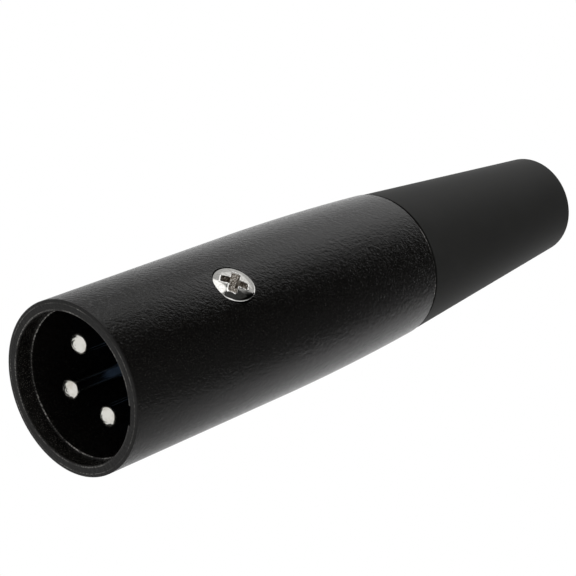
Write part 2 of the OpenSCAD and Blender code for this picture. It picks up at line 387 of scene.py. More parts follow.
@dataclass(frozen=True)
class MouldedPlastic(Finish):
    """Black plastic moulded in a spark-eroded tool.

    The eye sees an even, matt dark grey with a grain almost too fine to see, which is drawn here
    at twice its real size, and slow changes of sheen where the plastic flowed.
    """

    name: str = "moulded_vinyl"
    body: str = "#212120"
    pale: str = "#262625"
    grain: float = 0.18
    grain_kind: Grain = Grain.SPARKED
    relief: float = 0.006
    roughness: float = 0.58
    specular: float = 0.09

    def dress(self) -> None:
        """Builds the plastic's grain and its slow changes of tone."""
        tree, shader, place = self.start()
        if self.grain_kind is Grain.SPARKED:
            pits = add_node(
                tree, "TexVoronoi", {"feature": "SMOOTH_F1"},
                {"Vector": place, "Scale": per_grain(self.grain)},
            ).outputs["Distance"]
        else:
            pits = add_node(
                tree, "TexNoise", inputs={"Vector": place, "Scale": per_grain(self.grain)}
            ).outputs["Fac"]
        bump = add_node(
            tree, "Bump", inputs={"Strength": 0.6, "Distance": self.relief * MM, "Height": pits}
        )
        flow = add_node(
            tree, "TexNoise", inputs={"Vector": place, "Scale": per_grain(7.0), "Detail": 4.0}
        )
        tone = set_ramp(
            add_node(tree, "ValToRGB", inputs={0: flow.outputs["Fac"]}),
            [(0.35, self.body), (0.7, self.pale)],
        )
        sheen = add_node(
            tree, "MapRange",
            inputs={0: flow.outputs["Fac"], 3: self.roughness - 0.04, 4: self.roughness + 0.06},
        )
        tree.links.new(tone.outputs["Color"], shader.inputs["Base Color"])
        tree.links.new(sheen.outputs[0], shader.inputs["Roughness"])
        tree.links.new(bump.outputs[0], shader.inputs["Normal"])
        shader.inputs["Specular IOR Level"].default_value = self.specular


@dataclass(frozen=True)
class PlatedMetal(Finish):
    """Bright plating on turned or pressed metal.

    The eye sees a mirror that the last tool marks blur a little along one direction, with faint
    clouds of tarnish.
    """

    name: str = "silver_plate"
    metal: str = "#dddbd5"
    tarnish: str = "#b3aea2"
    roughness: float = 0.14
    mark_pitch: float = 0.12
    mark_depth: float = 0.002
    wave: float = 0.9
    wave_depth: float = 0.0
    wave_reach: float = 100.0
    wave_roughness: float = 0.0
    along: tuple[float, float, float] = (0.05, 0.05, 1.0)

    def dress(self) -> None:
        """Builds the tool marks and the tarnish."""
        tree, shader, place = self.start()
        stretched = add_node(
            tree, "VectorMath", {"operation": "MULTIPLY"}, {0: place, 1: self.along}
        )
        marks = add_node(
            tree, "TexNoise",
            inputs={"Vector": stretched.outputs[0], "Scale": per_grain(self.mark_pitch)},
        )
        bump = add_node(
            tree, "Bump",
            inputs={
                "Strength": 0.5,
                "Distance": self.mark_depth * MM,
                "Height": marks.outputs["Fac"],
            },
        )
        waves = add_node(
            tree, "TexNoise",
            inputs={"Vector": place, "Scale": per_grain(self.wave), "Detail": 1.0},
        )
        height = add_node(tree, "SeparateXYZ", inputs={0: place}).outputs["Z"]
        reached = add_node(
            tree, "MapRange",
            inputs={
                0: height, 1: (self.wave_reach - 0.5) * MM, 2: self.wave_reach * MM, 3: 1.0, 4: 0.0,
            },
        )
        swell = add_node(
            tree, "Bump",
            inputs={
                "Strength": reached.outputs[0],
                "Distance": self.wave_depth * MM,
                "Height": waves.outputs["Fac"],
                "Normal": bump.outputs[0],
            },
        )
        clouds = add_node(
            tree, "TexNoise", inputs={"Vector": place, "Scale": per_grain(1.4), "Detail": 5.0}
        )
        tone = set_ramp(
            add_node(tree, "ValToRGB", inputs={0: clouds.outputs["Fac"]}),
            [(0.45, self.metal), (0.85, self.tarnish)],
        )
        gloss = add_node(
            tree, "MapRange",
            inputs={0: clouds.outputs["Fac"], 3: self.roughness * 0.7, 4: self.roughness * 1.5},
        )
        scuffed = add_node(
            tree, "Math", {"operation": "MULTIPLY_ADD"},
            {0: reached.outputs[0], 1: self.wave_roughness, 2: gloss.outputs[0]},
        )
        tree.links.new(tone.outputs["Color"], shader.inputs["Base Color"])
        tree.links.new(scuffed.outputs[0], shader.inputs["Roughness"])
        tree.links.new(swell.outputs[0], shader.inputs["Normal"])
        shader.inputs["Metallic"].default_value = 1.0


@dataclass(frozen=True)
class ChromedScrew(Finish):
    """Bright chromium plate on a cold-headed steel screw, whose recess the plate barely reached.

    The eye sees a clean mirror on the head, and inside the cross a brownish grey steel with
    streaks down its walls, where the punch dragged. A painted highlight, a near-white line, runs
    round the head's rim and the lip of the recess.
    """

    name: str = "chrome_plate"
    chrome: str = "#a3a29f"
    haze: str = "#8a8985"
    # Near-white colour of the painted highlight on the rim and the recess lip.
    edge: str = "#efedea"
    bare: str = "#655c53"
    streak: str = "#d6d1c9"
    streak_width: float = 0.11
    roughness: float = 0.06
    bare_roughness: float = 0.5
    dome_centre: Corner = (0, 0, 0)
    dome_radius: float = 5
    head_centre: Point = (0, 0)
    head_edge: float = 2.36
    recess_reach: float = 1.95

    def dress(self) -> None:
        """Builds the plate on the head and the bare steel in the recess."""
        tree, shader, place = self.start()
        below = add_node(
            tree, "VectorMath", {"operation": "DISTANCE"},
            {0: place, 1: tuple(c * MM for c in self.dome_centre)},
        )
        skin = self.dome_radius * MM
        sunk = add_node(
            tree, "MapRange",
            inputs={
                0: below.outputs["Value"], 1: skin - 0.06 * MM, 2: skin - 0.16 * MM, 3: 0.0, 4: 1.0,
            },
        )
        across = add_node(
            tree, "VectorMath", {"operation": "MULTIPLY"}, {0: place, 1: (1.0, 0.0, 1.0)}
        )
        off_axis = add_node(
            tree, "VectorMath", {"operation": "DISTANCE"},
            {
                0: across.outputs[0],
                1: (self.head_centre[0] * MM, 0.0, self.head_centre[1] * MM),
            },
        )
        central = add_node(
            tree, "MapRange",
            inputs={
                0: off_axis.outputs["Value"],
                1: self.recess_reach * MM,
                2: (self.recess_reach - 0.15) * MM,
                3: 0.0,
                4: 1.0,
            },
        )
        recess = add_node(
            tree, "Math", {"operation": "MULTIPLY"}, {0: sunk.outputs[0], 1: central.outputs[0]}
        )
        drawn = add_node(
            tree, "VectorMath", {"operation": "MULTIPLY"}, {0: place, 1: (1.0, 0.12, 1.0)}
        )
        streaks = add_node(
            tree, "TexNoise",
            inputs={
                "Vector": drawn.outputs[0], "Scale": per_grain(self.streak_width), "Detail": 2.0,
            },
        )
        steel = set_ramp(
            add_node(tree, "ValToRGB", inputs={0: streaks.outputs["Fac"]}),
            [(0.44, self.bare), (0.62, self.streak)],
        )
        clouds = add_node(
            tree, "TexNoise", inputs={"Vector": place, "Scale": per_grain(0.25), "Detail": 4.0}
        )
        plate = set_ramp(
            add_node(tree, "ValToRGB", inputs={0: clouds.outputs["Fac"]}),
            [(0.42, self.chrome), (0.68, self.haze)],
        )
        # Painted highlight: a near-white line on the head's rim and on the lip of the recess.
        rim = add_node(
            tree, "MapRange",
            inputs={
                0: off_axis.outputs["Value"],
                1: (self.head_edge - 0.03) * MM,
                2: (self.head_edge + 0.02) * MM,
            },
        )
        lip = add_node(
            tree, "MapRange",
            inputs={
                0: below.outputs["Value"], 1: skin + 0.003 * MM, 2: skin + 0.018 * MM,
                4: central.outputs[0],
            },
        )
        bright = add_node(
            tree, "Math", {"operation": "MAXIMUM"}, {0: rim.outputs[0], 1: lip.outputs[0]}
        )
        lit_edge = add_node(
            tree, "Mix", {"data_type": "RGBA"},
            {0: bright.outputs[0], 6: plate.outputs["Color"], 7: linear(self.edge)},
        )
        colour = add_node(
            tree, "Mix", {"data_type": "RGBA"},
            {0: recess.outputs[0], 6: lit_edge.outputs[2], 7: steel.outputs["Color"]},
        )
        gloss = add_node(
            tree, "MapRange",
            inputs={0: recess.outputs[0], 3: self.roughness, 4: self.bare_roughness},
        )
        bump = add_node(
            tree, "Bump",
            inputs={
                "Strength": recess.outputs[0],
                "Distance": 0.03 * MM,
                "Height": streaks.outputs["Fac"],
            },
        )
        ripple = add_node(
            tree, "Bump",
            inputs={
                "Strength": 1.0,
                "Distance": 0.004 * MM,
                "Height": clouds.outputs["Fac"],
                "Normal": bump.outputs[0],
            },
        )
        tree.links.new(colour.outputs[2], shader.inputs["Base Color"])
        tree.links.new(gloss.outputs[0], shader.inputs["Roughness"])
        tree.links.new(ripple.outputs[0], shader.inputs["Normal"])
        shader.inputs["Metallic"].default_value = 1.0


ENAMEL = BakedEnamel(
    # Pale lines, partly painted highlight and partly wear, on the rim's outer and inner edges, the
    # lead-in step and the shell's rear corner.
    edges=(
        (9.12, 0.0, 0.06, 0.5),
        (8.4, 0.01, 0.1, 0.6),
        (8.08, 2.0, 0.12, 1.4),
        (8.8, 50.36, 0.15, 3.0),
    )
)
BLOCK_NYLON = MouldedPlastic(
    name="moulded_nylon", body="#4a6080", pale="#546a8a", grain=0.3, grain_kind=Grain.PEBBLED,
    roughness=0.42, specular=0.4,
)
BOOT_PLASTIC = MouldedPlastic()
CONTACT_PLATE = PlatedMetal(
    metal="#d4d2cc", roughness=0.09, wave=0.9, wave_depth=0.12, wave_reach=3.6, wave_roughness=0.13
)
TAG_BRASS = PlatedMetal(
    name="tinned_brass", metal="#cdbd90", tarnish="#9a8452", roughness=0.26, along=(1, 1, 0.08)
)
SCREW_CHROME = ChromedScrew()
FRAME_STEEL = PlatedMetal(
    name="pressed_steel", metal="#b9bbbd", tarnish="#96989a", roughness=0.34, along=(1, 1, 0.06)
)
CLAMP_SCREW_STEEL = PlatedMetal(
    name="turned_steel", metal="#cbcccd", tarnish="#a6a7a8", roughness=0.2
)


def arc(centre: Point, radius: float, start: float, end: float, steps: int = 8) -> list[Point]:
    """Gives the points of an arc in a profile.

    Args:
        centre: Centre of the arc.
        radius: Radius of the arc.
        start: First angle in degrees.
        end: Last angle in degrees.
        steps: Number of chords.

    Returns:
        The points, ends included.
    """
    turns = [math.radians(start + (end - start) * i / steps) for i in range(steps + 1)]
    return [(centre[0] + radius * math.cos(t), centre[1] + radius * math.sin(t)) for t in turns]


def softened(corners: Sequence[Corner], steps: int = 5) -> list[Point]:
    """Rounds the corners of a closed profile.

    Args:
        corners: Radius and height of each corner, and how far from it its rounding starts.
        steps: Number of chords in each rounding.

    Returns:
        The profile's points.
    """
    points: list[Point] = []
    for i, (x, y, reach) in enumerate(corners):
        here = Vector((x, y))
        if reach <= 0:
            points.append((x, y))
            continue
        before = Vector(corners[i - 1][:2]) - here
        after = Vector(corners[(i + 1) % len(corners)][:2]) - here
        first = here + before.normalized() * min(reach, before.length / 2)
        last = here + after.normalized() * min(reach, after.length / 2)
        for step in range(steps + 1):
            t = step / steps
            point = first * (1 - t) ** 2 + here * 2 * t * (1 - t) + last * t ** 2
            points.append((point.x, point.y))
    return points


def finish_mesh(name: str, mesh: bmesh.types.BMesh, sharp: float = 28.0) -> bpy.types.Object:
    """Turns a mesh under construction into a smooth-shaded object.

    Args:
        name: Name of the object.
        mesh: The mesh in millimetres, which is freed.
        sharp: Angle in degrees from which an edge is sharp.

    Returns:
        The object, in metres.
    """
    bmesh.ops.remove_doubles(mesh, verts=mesh.verts, dist=1e-5)
    bmesh.ops.recalc_face_normals(mesh, faces=mesh.faces)
    bmesh.ops.scale(mesh, vec=(MM, MM, MM), verts=mesh.verts)
    data = bpy.data.meshes.new(name)
    mesh.to_mesh(data)
    mesh.free()
    data.shade_smooth()
    data.set_sharp_from_angle(angle=math.radians(sharp))
    piece = bpy.data.objects.new(name, data)
    bpy.context.scene.collection.objects.link(piece)
    return piece


def turned(
    name: str, profile: Sequence[Point], place: Matrix | None = None, segments: int = 192
) -> bpy.types.Object:
    """Turns a closed profile round the Z axis.

    Args:
        name: Name of the object.
        profile: Radius and height of each point, in order round the section.
        place: Where the turned piece goes, in millimetres.
        segments: Number of faces round the axis.

    Returns:
        The piece.
    """
    mesh = bmesh.new()
    columns = []
    for radius, height in profile:
        if radius < 1e-6:
            pole = mesh.verts.new((0, 0, height))
            columns.append([pole] * segments)
            continue
        turns = [2 * math.pi * i / segments for i in range(segments)]
        columns.append(
            [mesh.verts.new((radius * math.cos(t), radius * math.sin(t), height)) for t in turns]
        )
    for lower, upper in zip(columns, columns[1:] + columns[:1]):
        for i in range(segments):
            ring = [lower[i], lower[(i + 1) % segments], upper[(i + 1) % segments], upper[i]]
            corners = list(dict.fromkeys(ring))
            if len(corners) > 2:
                mesh.faces.new(corners)
    if place is not None:
        bmesh.ops.transform(mesh, matrix=place, verts=mesh.verts)
    return finish_mesh(name, mesh)


def skinned(
    name: str, rings: Sequence[Sequence[Vector]], place: Matrix | None = None, sharp: float = 28.0
) -> bpy.types.Object:
    """Joins closed rings of points one to the next and closes both ends.

    Args:
        name: Name of the object.
        rings: The rings in order, each with as many points as the next, in millimetres.
        place: Where the piece goes, in millimetres.
        sharp: Angle in degrees from which an edge is sharp.

    Returns:
        The piece.
    """
    mesh = bmesh.new()
    columns = [[mesh.verts.new(point) for point in ring] for ring in rings]
    count = len(columns[0])
    for lower, upper in zip(columns, columns[1:]):
        for i in range(count):
            j = (i + 1) % count
            mesh.faces.new([lower[i], lower[j], upper[j], upper[i]])
    for column in (columns[0], columns[-1]):
        pole = mesh.verts.new(sum((v.co for v in column), Vector()) / count)
        for i in range(count):
            mesh.faces.new([column[i], column[(i + 1) % count], pole])
    if place is not None:
        bmesh.ops.transform(mesh, matrix=place, verts=mesh.verts)
    return finish_mesh(name, mesh, sharp)


def block(
    name: str, low: Sequence[float], high: Sequence[float], place: Matrix | None = None
) -> bpy.types.Object:
    """Builds a box that cuts another piece.

    Args:
        name: Name of the object.
        low: Its lowest corner.
        high: Its highest corner.
        place: Where it goes, in millimetres.

    Returns:
        The box.
    """
    mesh = bmesh.new()
    bmesh.ops.create_cube(mesh, size=1.0)
    size = Vector(high) - Vector(low)
    bmesh.ops.scale(mesh, vec=size, verts=mesh.verts)
    bmesh.ops.translate(mesh, vec=(Vector(low) + Vector(high)) / 2, verts=mesh.verts)
    if place is not None:
        bmesh.ops.transform(mesh, matrix=place, verts=mesh.verts)
    return finish_mesh(name, mesh)


def settle(piece: bpy.types.Object) -> bpy.types.Object:
    """Applies a piece's modifiers to its mesh.

    Args:
        piece: The piece.

    Returns:
        The same piece, without modifiers.
    """
    seen = piece.evaluated_get(bpy.context.evaluated_depsgraph_get())
    data = bpy.data.meshes.new_from_object(seen)
    piece.modifiers.clear()
    piece.data = data
    return piece


def carve(piece: bpy.types.Object, cutters: Iterable[bpy.types.Object]) -> bpy.types.Object:
    """Cuts other solids out of a piece and removes them.

    Args:
        piece: The piece that is cut.
        cutters: The solids to take away.

    Returns:
        The same piece.
    """
    for cutter in cutters:
        cut = piece.modifiers.new("cut", "BOOLEAN")
        cut.operation = "DIFFERENCE"
        cut.solver = "EXACT"
        cut.object = cutter
        settle(piece)
        bpy.data.objects.remove(cutter)
    piece.data.shade_smooth()
    piece.data.set_sharp_from_angle(angle=math.radians(28))
    return piece


def ease(piece: bpy.types.Object, width: float, segments: int = 2) -> bpy.types.Object:
    """Rounds the sharp edges of a piece.

    Args:
        piece: The piece.
        width: Width of the rounding.
        segments: Number of faces across it.

    Returns:
        The same piece.
    """
    rounding = piece.modifiers.new("eased edges", "BEVEL")
    rounding.width = width * MM
    rounding.segments = segments
    rounding.limit_method = "ANGLE"
    rounding.angle_limit = math.radians(32)
    rounding.harden_normals = True
    return settle(piece)


def mount(
    piece: bpy.types.Object, finish: Finish, nodes: Sequence[str] = ()
) -> bpy.types.Object:
    """Gives a piece its finish and its place on the plug's body.

    Args:
        piece: The piece.
        finish: What it is made of.
        nodes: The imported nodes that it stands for.

    Returns:
        The same piece.
    """
    piece.data.materials.clear()
    piece.data.materials.append(finish.material())
    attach(piece, BODY)
    if nodes:
        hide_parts(*nodes)
    log.info("%s: %d faces, %s", piece.name, len(piece.data.polygons), finish.name)
    return piece


def redress(node: str, finish: Finish) -> None:
    """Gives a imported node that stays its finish.

    Args:
        node: Name of the node.
        finish: What it is made of.
    """
    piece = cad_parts[node]
    piece.data.materials.clear()
    piece.data.materials.append(finish.material())
    log.info("%s: kept, %s", node, finish.name)


@dataclass
class Shell:
    """The die-cast barrel: one turned body with a keyway and a screw hole."""

    length: float
    radius: float
    rear_drop: float = 0.7
    taper_start: float = 27.0
    rim_round: float = 0.4
    rim_ease: float = 0.1
    rear_bevel: float = 0.22
    wall: float = 1.45
    lead_step: float = 0.2
    lead_depth: float = 2.0
    shoulder_width: float = 0.65
    lip_width: float = 0.8
    lip_thickness: float = 2.0
    shoulder_height: float = 23.95
    key_width: float = 2.2
    key_depth: float = 0.45
    key_angle: float = -32.5
    screw_height: float = 18.6
    hole_radius: float = 1.6
    seat_radius: float = 2.47
    seat_shift: Point = (-0.1, 0.1)
    cone_low: float = 8.2
    cone_high: float = 8.75

    def profile(self) -> list[Point]:
        """Draws half of the barrel's section."""
        bore = self.radius - self.wall
        lead = bore + self.lead_step
        room = bore - self.shoulder_width
        lip = room - self.lip_width
        rear = self.radius - self.rear_drop
        taper_end = self.length - self.rear_bevel
        steps = 28
        taper = [
            (
                self.radius - self.rear_drop * (i / steps) ** 2,
                self.taper_start + (taper_end - self.taper_start) * i / steps,
            )
            for i in range(steps + 1)
        ]
        corner = arc((0, 0), 1, -90, 0)
        rim = [
            (self.radius - self.rim_round * (1 - x), self.rim_ease * (1 + y)) for x, y in corner
        ]
        inside = softened(
            [
                (rear - self.rear_bevel, self.length, 0.08),
                (lip, self.length, 0.15),
                (lip, self.length - self.lip_thickness, 0.1),
                (room, self.length - self.lip_thickness, 0.2),
                (room, self.shoulder_height, 0.08),
                (bore, self.shoulder_height, 0.1),
                (bore, self.lead_depth, 0.06),
                (lead, self.lead_depth, 0.06),
                (lead, 0, 0.17),
                (self.radius - self.rim_round, 0, 0),
            ]
        )
        return rim + taper[:] + inside[:-1]

    def build(self) -> None:
        """Turns the barrel, cuts its keyway and screw hole, and enamels it."""
        barrel = turned("barrel", self.profile(), segments=256)
        bore = self.radius - self.wall
        keyway = block(
            "keyway",
            (bore - 1, -self.key_width / 2, -1),
            (bore + self.key_depth, self.key_width / 2, self.shoulder_height),
            Matrix.Rotation(math.radians(self.key_angle), 4, "Z"),
        )
        across, along = self.seat_shift
        sideways = Matrix.Translation((across, 0, self.screw_height + along)) @ Matrix.Rotation(
            math.radians(90), 4, "X"
        )
        screw_hole = turned(
            "screw_hole",
            [
                (0, bore - 1),
                (self.hole_radius, bore - 1),
                (self.hole_radius, self.cone_low),
                (self.seat_radius, self.cone_high),
                (self.seat_radius, self.radius + 1),
                (0, self.radius + 1),
            ],
            sideways,
            segments=96,
        )
        carve(barrel, [keyway, screw_hole])
        mount(barrel, ENAMEL, ["shell"])


@dataclass
class ContactSet:
    """The moulded block and its three turned contacts."""

    circle: float = 4.05
    middle_angle: float = 113.9
    pin_radius: float = 1.19
    tip_height: float = 2.7
    tip_rise: float = 0.64
    mark_depth: float = 0.02
    mark_pitch: float = 0.36
    shank_radius: float = 1.45
    shank_height: float = 15.0
    collar_radius: float = 1.7
    collar_height: float = 21.05
    block_top: float = 23.9
    cup_radius: float = 1.55
    cup_top: float = 29.9
    cup_bore: float = 1.1
    cup_depth: float = 4.5
    gap: float = 0.05

    def contact(self, name: str, angle: float) -> bpy.types.Object:
        """Turns one contact and cuts its solder cup.

        Args:
            name: Name of the piece.
            angle: Direction of the contact round the axis, in degrees.

        Returns:
            The contact.
        """
        steps = 48
        tip = []
        for i in range(steps + 1):
            turn = math.radians(90 * i / steps)
            reach = self.pin_radius * math.sin(turn)
            mark = self.mark_depth * (1 - math.cos(2 * math.pi * reach / self.mark_pitch)) / 2
            tip.append((reach, self.tip_height + self.tip_rise * (1 - math.cos(turn)) + mark))
        body = softened(
            [
                (self.pin_radius, self.shank_height, 0.03),
                (self.shank_radius, self.shank_height, 0.04),
                (self.shank_radius, self.collar_height, 0.02),
                (self.collar_radius, self.collar_height, 0.05),
                (self.collar_radius, self.block_top + self.gap, 0.04),
                (self.cup_radius, self.block_top + 2 * self.gap, 0.02),
                (self.cup_radius, self.cup_top, 0.1),
                (self.cup_bore, self.cup_top, 0.08),
                (self.cup_bore, self.cup_top - self.cup_depth, 0.1),
                (0, self.cup_top - self.cup_depth - 0.3, 0),
            ],
            steps=3,
        )
        place = Matrix.Rotation(math.radians(angle), 4, "Z") @ Matrix.Translation(
            (self.circle, 0, 0)
        )
        piece = turned(name, tip + body, place, segments=96)
        opening = block(
            "cup_opening",
            (self.cup_radius / 4, -2 * self.cup_radius, self.cup_top - self.cup_depth + 0.8),
            (3 * self.cup_radius, 2 * self.cup_radius, self.cup_top + 1),
            place,
        )
        return carve(piece, [opening])

    def build(self) -> None:
        """Builds the three contacts and dresses the block."""
        for name, node, turn in (
            ("pin_1", "contact_1", 90),
            ("pin_2", "contact_2", -90),
            ("pin_3", "contact_3", 0),
        ):
            piece = self.contact(name, self.middle_angle + turn)
            mount(piece, CONTACT_PLATE, [node])
        redress("contact_block", BLOCK_NYLON)


@dataclass
class SideScrew:
    """The chromed raised countersunk screw in the shell's side.

    Its head sits a little askew in its seat, low towards the mouth, as in the photograph.
    """

    height: float = 18.6
    seat_shift: Point = (-0.1, 0.1)
    lean: Point = (-0.133, -0.065)
    head_radius: float = 2.44
    head_base: float = 9.41
    head_rim: float = 0.2
    dome: float = 0.4
    neck: float = 8.2
    tip: float = 4.4
    thread_radius: float = 1.5
    thread_pitch: float = 0.5
    thread_depth: float = 0.28
    recess_span: float = 3.1
    recess_slot: float = 1.0
    recess_depth: float = 1.25
    recess_angle: float = 39.0
    burr: float = 0.04
    steps: int = 240

    def cross_reach(self, turn: float, span: float, slot: float) -> float:
        """Gives how far a cross with blunt corners reaches in one direction.

        Args:
            turn: The direction, in radians.
            span: Length of each bar of the cross.
            slot: Width of each bar.

        Returns:
            The distance from the cross's centre to its outline.
        """
        blur = math.radians(3)
        reaches = []
        for offset in (-blur, -blur / 2, 0, blur / 2, blur):
            cosine = max(abs(math.cos(turn + offset)), 1e-6)
            sine = max(abs(math.sin(turn + offset)), 1e-6)
            lying = min(span / 2 / cosine, slot / 2 / sine)
            standing = min(span / 2 / sine, slot / 2 / cosine)
            reaches.append(max(lying, standing))
        return sum(reaches) / len(reaches)

    def dome_radius(self) -> float:
        """Gives the radius of the sphere that the dome belongs to."""
        return (self.head_radius ** 2 + self.dome ** 2) / (2 * self.dome)

    def dome_height(self, reach: float) -> float:
        """Gives the dome's height above the screw's origin at a distance from its axis."""
        ball = self.dome_radius()
        return self.head_base + self.dome - ball + math.sqrt(ball ** 2 - reach ** 2)

    def leaning(self) -> Matrix:
        """Gives the move that sets the head askew about the middle of its rim."""
        tilted = Vector((self.lean[0], self.lean[1], 1)).normalized()
        turn = Vector((0, 0, 1)).rotation_difference(tilted).to_matrix().to_4x4()
        pivot = Vector((0, 0, self.head_base))
        shift = Vector((self.seat_shift[0], self.seat_shift[1], 0))
        return Matrix.Translation(pivot + shift) @ turn @ Matrix.Translation(-pivot)

    def ring(self, reach: Iterable[float], height: Iterable[float]) -> list[Vector]:
        """Gives a ring of points from their distance to the axis and their height."""
        turns = [2 * math.pi * i / self.steps for i in range(self.steps)]
        return [
            Vector((r * math.cos(t), r * math.sin(t), z)) for t, r, z in zip(turns, reach, height)
        ]

    def shaft(self) -> list[list[Vector]]:
        """Builds the threaded shaft's rings, from its tip to the neck."""
        low, high = self.tip, self.neck - 0.2
        levels = 12
        count = round((high - low) / self.thread_pitch * levels)
        rings = []
        for level in range(count + 1):
            height = low + (high - low) * level / count
            point = max(0.0, 0.45 - (height - low))
            reach = []
            for i in range(self.steps):
                phase = ((height - low) / self.thread_pitch - i / self.steps) % 1
                crest = min(1.0, 1.3 * abs(2 * phase - 1))
                fade = min(1.0, (high - height) / self.thread_pitch)
                depth = self.thread_depth * (1 - crest * 1.0) * fade
                reach.append(self.thread_radius - depth - point)
            rings.append(self.ring(reach, [height] * self.steps))
        return rings

    def head(self) -> list[list[Vector]]:
        """Builds the head's rings, from below its rim over the dome into the recess."""
        turns = [2 * math.pi * i / self.steps for i in range(self.steps)]
        radius, base, around = self.head_radius, self.head_base, self.steps
        rings = [
            self.ring([reach] * around, [level] * around)
            for reach, level in (
                (radius - 0.04, base - self.head_rim),
                (radius, base - self.head_rim + 0.04),
                (radius, base - 0.06),
                (radius - 0.012, base - 0.03),
                (radius - 0.04, base - 0.005),
            )
        ]
        edge = [self.cross_reach(t, self.recess_span, self.recess_slot) for t in turns]
        swell = [
            1 + 0.45 * math.sin(5 * t + 1) * math.sin(3 * t) + 0.3 * math.sin(17 * t) for t in turns
        ]
        courses = 12
        for course in range(1, courses + 1):
            t = course / courses
            reach = [(1 - t) * (radius - 0.08) + t * (e + 0.16) for e in edge]
            rings.append(self.ring(reach, [self.dome_height(r) for r in reach]))
        for out, lift in ((0.11, 0.25), (0.07, 0.75), (0.035, 1.0), (0.0, 0.8), (-0.02, 0.1)):
            reach = [e + out for e in edge]
            rings.append(
                self.ring(
                    reach,
                    [self.dome_height(r) + self.burr * lift * w for r, w in zip(reach, swell)],
                )
            )
        top = base + self.dome
        for depth, span, slot in (
            (0.3, 0.93, 0.94), (0.55, 0.8, 0.88), (0.8, 0.62, 0.8), (0.95, 0.42, 0.7), (1.0, 0.28, 0.5),
        ):
            reach = [
                self.cross_reach(t, self.recess_span * span, self.recess_slot * slot)
                for t in turns
            ]
            rings.append(self.ring(reach, [top - self.recess_depth * depth] * around))
        return rings

    def build(self) -> None:
        """Rolls the thread, heads the screw, presses its cross recess and plates it."""
        place = Matrix.Translation((0, 0, self.height)) @ Matrix.Rotation(
            math.radians(90), 4, "X"
        )
        leaning = self.leaning()
        spin = Matrix.Rotation(math.radians(self.recess_angle), 4, "Z")
        head = [[leaning @ spin @ point for point in ring] for ring in self.head()]
        shaft = [[spin @ point for point in ring] for ring in self.shaft()]
        neck = self.ring([self.thread_radius] * self.steps, [self.neck] * self.steps)
        screw = skinned("screw", shaft + [[spin @ p for p in neck]] + head, place, sharp=50)
        centre = Vector((0, 0, self.head_base + self.dome - self.dome_radius()))
        crown = place @ leaning @ Vector((0, 0, self.head_base + self.dome))
        finish = replace(
            SCREW_CHROME,
            dome_centre=tuple(place @ leaning @ centre),
            dome_radius=self.dome_radius(),
            head_centre=(crown.x, crown.z),
        )
        mount(screw, finish, ["side_screw"])


@dataclass
class Boot:
    """The moulded boot that snaps through the shell's rear lip."""

    base: float = 50.74
    top: float = 82.4
    radius: float = 8.7
    end_radius: float = 6.23
    hole_radius: float = 3.5
    neck_radius: float = 6.5
    flange_radius: float = 7.1
    flange_low: float = 46.85
    flange_high: float = 48.45
    throat_radius: float = 5.2
    throat_top: float = 56.15
    throat_cone: float = 3.0
    end_round: float = 0.2

    def build(self) -> None:
        """Turns the boot with its neck, flange and cable hole."""
        profile = softened(
            [
                (self.throat_radius, self.flange_low, 0.1),
                (self.flange_radius - 0.3, self.flange_low, 0.1),
                (self.flange_radius, self.flange_low + 0.5, 0.1),
                (self.flange_radius, self.flange_high, 0.1),
                (self.neck_radius, self.flange_high, 0.1),
                (self.neck_radius, self.base, 0.1),
                (self.radius, self.base, 0.1),
                (self.end_radius, self.top, self.end_round),
                (self.hole_radius, self.top, 0.35),
                (self.hole_radius, self.throat_top + self.throat_cone, 0.5),
                (self.throat_radius, self.throat_top, 0.5),
            ],
            steps=7,
        )
        boot = turned("boot_sleeve", profile, segments=224)
        mount(boot, BOOT_PLASTIC, ["boot"])


@dataclass
class CableClamp:
    """The pressed frame, its saddle and screws, and the ground tag, all inside the shell."""

    finishes: dict[str, Finish] = field(
        default_factory=lambda: {
            "clamp_frame": FRAME_STEEL,
            "clamp_saddle": FRAME_STEEL,
            "clamp_screw_left": CLAMP_SCREW_STEEL,
            "clamp_screw_right": CLAMP_SCREW_STEEL,
            "ground_tag": TAG_BRASS,
        }
    )

    def build(self) -> None:
        """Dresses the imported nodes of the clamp."""
        for node, finish in self.finishes.items():
            redress(node, finish)


